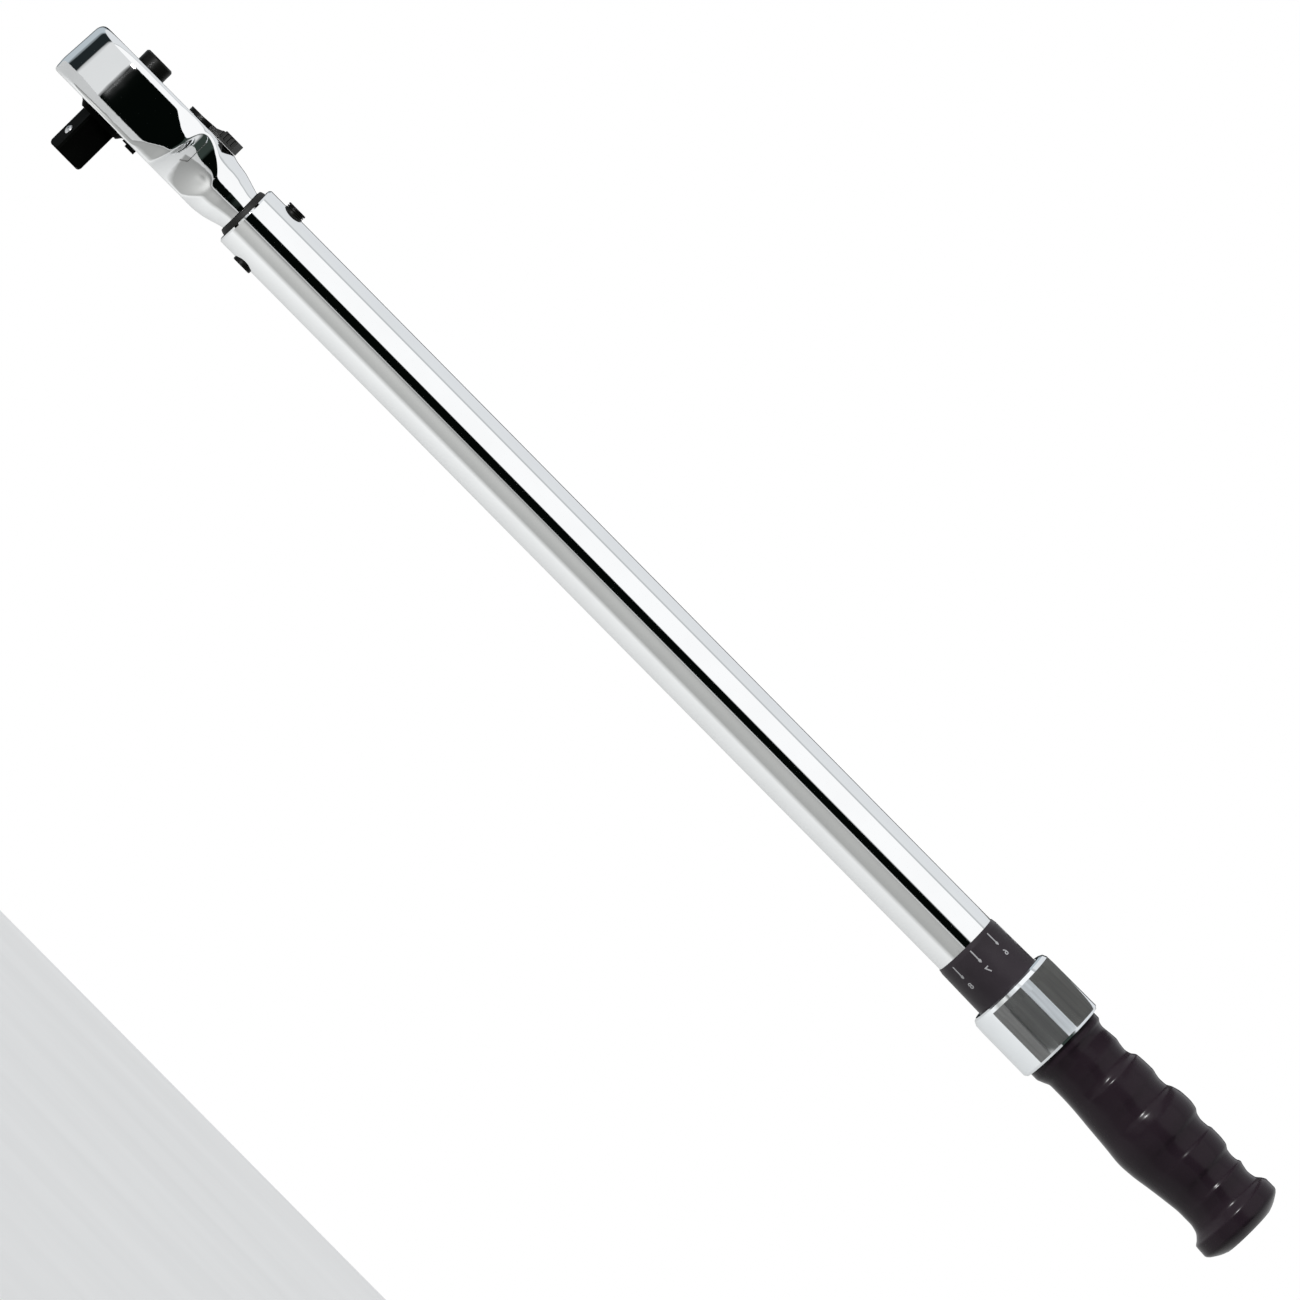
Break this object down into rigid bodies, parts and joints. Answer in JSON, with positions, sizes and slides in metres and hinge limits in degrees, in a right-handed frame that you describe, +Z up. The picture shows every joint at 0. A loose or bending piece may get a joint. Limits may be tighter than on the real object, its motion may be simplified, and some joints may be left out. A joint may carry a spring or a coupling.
{
  "type": "torque wrench",
  "caption": "Click torque wrench with a fixed reversible ratchet head, half inch square drive, chromed tube, micrometer scale sleeve, lock ring and moulded black grip.",
  "frame": {"origin": "centre of the drive square's end face", "axes": "+X along the tool towards the grip, +Z up the drive axis towards the release button"},
  "size_m": [0.624, 0.0524, 0.0515],
  "materials": {
    "chrome": "polished chrome plate",
    "black_oxide": "black oxide",
    "steel": "ground steel",
    "spring_steel": "oiled spring steel",
    "bronze": "plain bronze",
    "anodised": "black anodised, satin",
    "plastic": "semi-gloss moulded",
    "paint": "filled white",
    "black_fill": "filled black",
    "seal": "nitrile"
  },
  "bodies": {
    "tube": {"tube": "chrome", "mouth_seal": "seal", "tube_scale": "black_fill", "pivot_pin": "black_oxide", "pivot_clip": "black_oxide", "load_nut": "bronze", "nut_pins": "steel", "main_spring": "spring_steel"},
    "head": {"head_housing": "chrome", "cover_plate": "steel", "retaining_ring": "black_oxide"},
    "gear": {"ratchet_gear": "black_oxide", "release_spring": "spring_steel"},
    "button": {"release_button": "black_oxide", "release_pin": "steel"},
    "ball": {"detent_ball": "steel"},
    "lever": {"reverse_lever": "black_oxide", "lever_ball": "steel", "lever_spring": "spring_steel", "lever_seal": "seal"},
    "pawl": {"pawl": "steel"},
    "plunger": {"plunger": "steel", "plunger_rings": "bronze"},
    "toggle": {"toggle_block": "steel"},
    "carrier": {"spring_seat": "steel", "thrust_ball": "steel"},
    "handle": {"adjusting_screw": "steel", "scale_sleeve": "anodised", "sleeve_marks": "paint", "lock_balls": "steel", "lock_spring": "spring_steel", "grip": "plastic", "screw_anchor": "bronze", "anchor_pin": "steel", "end_cap": "plastic"},
    "lock_ring": {"lock_ring": "chrome"}
  },
  "joints": [
    {"name": "head_break", "type": "hinge", "parent": "tube", "child": "head", "pos_m": [0.0755, 0, 0.0327], "axis": [0, 0, 1], "range_deg": [0, 3], "stiffness_Nm_per_rad": 200, "springref_deg": -2.86, "deforming": ["main_spring"]},
    {"name": "plunger_slide", "type": "slide", "parent": "tube", "child": "plunger", "axis": [1, 0, 0], "range_m": [0, 0.0018]},
    {"name": "toggle_tilt", "type": "hinge", "parent": "plunger", "child": "toggle", "pos_m": [0.16725, 0.003, 0.0327], "axis": [0, 0, 1], "range_deg": [-19, 0]},
    {"name": "drive_turn", "type": "hinge", "parent": "head", "child": "gear", "pos_m": [0, 0, 0.0327], "axis": [0, 0, 1], "continuous": true},
    {"name": "button_press", "type": "slide", "parent": "gear", "child": "button", "axis": [0, 0, -1], "range_m": [0, 0.0025], "stiffness_N_per_m": 600, "springref_m": -0.003, "deforming": ["release_spring"]},
    {"name": "ball_retract", "type": "slide", "parent": "gear", "child": "ball", "axis": [0.9563, 0.2924, 0], "range_m": [0, 0.0009]},
    {"name": "lever_turn", "type": "hinge", "parent": "head", "child": "lever", "pos_m": [0.027, 0, 0.0327], "axis": [0, 0, 1], "range_deg": [0, 40]},
    {"name": "pawl_rock", "type": "hinge", "parent": "head", "child": "pawl", "pos_m": [0.027, 0, 0.0327], "axis": [0, 0, 1], "range_deg": [-11, 0]},
    {"name": "handle_turn", "type": "hinge", "parent": "carrier", "child": "handle", "pos_m": [0.5, 0, 0.0327], "axis": [-1, 0, 0], "range_deg": [0, 3960]},
    {"name": "carrier_slide", "type": "slide", "parent": "tube", "child": "carrier", "axis": [-1, 0, 0], "range_m": [0, 0.022]},
    {"name": "lock_slide", "type": "slide", "parent": "handle", "child": "lock_ring", "axis": [1, 0, 0], "range_m": [0, 0.004], "stiffness_N_per_m": 1000, "springref_m": -0.005, "deforming": ["lock_spring"]}
  ],
  "couplings": [
    {"joint": "plunger_slide", "follows": "head_break", "m_per_rad": 0.03094},
    {"joint": "toggle_tilt", "follows": "head_break", "ratio": -6.2333},
    {"joint": "ball_retract", "follows": "button_press", "ratio": 0.36},
    {"joint": "pawl_rock", "follows": "lever_turn", "ratio": -0.275},
    {"joint": "handle_turn", "follows": "carrier_slide", "rad_per_m": 3141.6}
  ]
}
